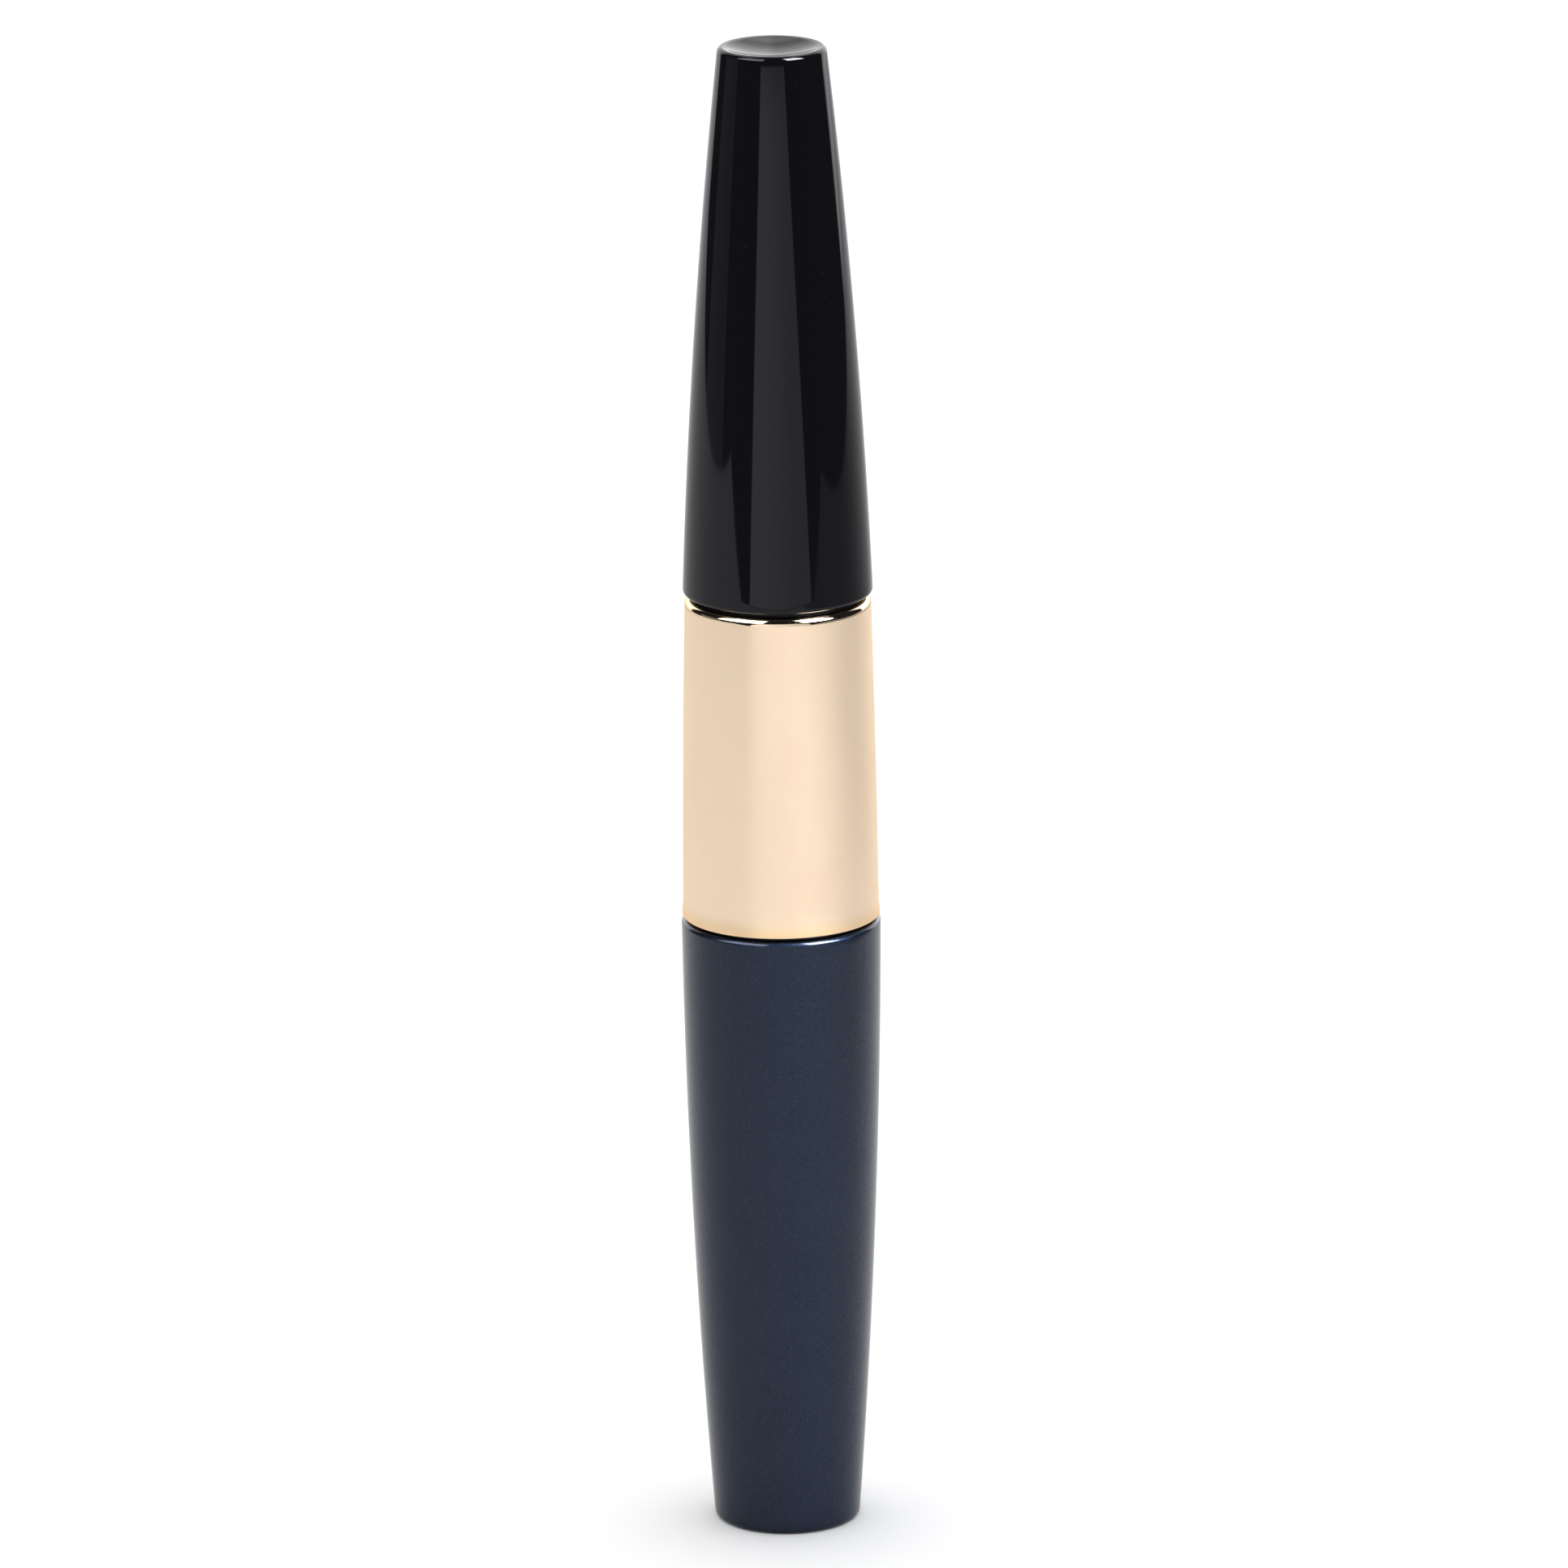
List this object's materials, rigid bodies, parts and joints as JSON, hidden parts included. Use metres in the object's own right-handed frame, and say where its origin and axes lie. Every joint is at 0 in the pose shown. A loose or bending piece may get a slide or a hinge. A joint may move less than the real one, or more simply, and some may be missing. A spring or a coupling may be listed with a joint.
{
  "type": "mascara tube",
  "caption": "Slim screw-cap mascara tube with a tapered black cap, a satin gold collar, a navy bottle, and a wand with a twisted-wire brush that passes through a wiper.",
  "frame": {"origin": "centre of the foot ring, on the surface the tube stands on", "axes": "+Z along the tube's axis, from the foot to the cap's rim; the tube is a body of revolution, so +X and +Y are free"},
  "size_m": [0.018, 0.018, 0.137],
  "materials": {
    "navy_pearl_lacquer": "navy pearl lacquer with fine metallic flake under a clear coat",
    "black_gloss_plastic": "high gloss black",
    "gold_satin_aluminium": "satin champagne-gold anodised, polished shoulder",
    "black_satin_plastic": "satin black moulded polypropylene",
    "vial_plastic": "natural translucent polypropylene",
    "wiper_elastomer": "soft natural polyethylene",
    "liner_polyethylene": "soft white polyethylene",
    "mascara_paste": "wet black paste",
    "twisted_steel": "drawn stainless wire",
    "bristle_nylon": "black nylon fibre",
    "blank_label": "blank printed film, no text"
  },
  "bodies": {
    "bottle": {"bottle_shell": "navy_pearl_lacquer", "base_label": "blank_label", "inner_vial": "vial_plastic", "mascara_fill": "mascara_paste", "wiper": "wiper_elastomer"},
    "ring": {"slip_ring": "black_satin_plastic"},
    "liner": {"seal_liner": "liner_polyethylene"},
    "cap": {"cap_shell": "black_gloss_plastic", "gold_collar": "gold_satin_aluminium", "inner_cap": "black_satin_plastic", "wand_rod": "black_satin_plastic", "brush_wire": "twisted_steel", "brush_bristles": "bristle_nylon"}
  },
  "joints": [
    {"name": "cap_turn", "type": "hinge", "parent": "bottle", "child": "ring", "pos_m": [0, 0, 0.05685], "axis": [0, 0, 1], "range_deg": [0, 540]},
    {"name": "cap_pull", "type": "slide", "parent": "ring", "child": "liner", "axis": [0, 0, 1], "range_m": [0, 0.064], "deforming": ["brush_bristles"]},
    {"name": "cap_lift", "type": "slide", "parent": "liner", "child": "cap", "axis": [0, 0, 1], "range_m": [0, 0.0038]}
  ],
  "couplings": [
    {"joint": "cap_lift", "follows": "cap_turn", "m_per_rad": 0.00039789}
  ]
}
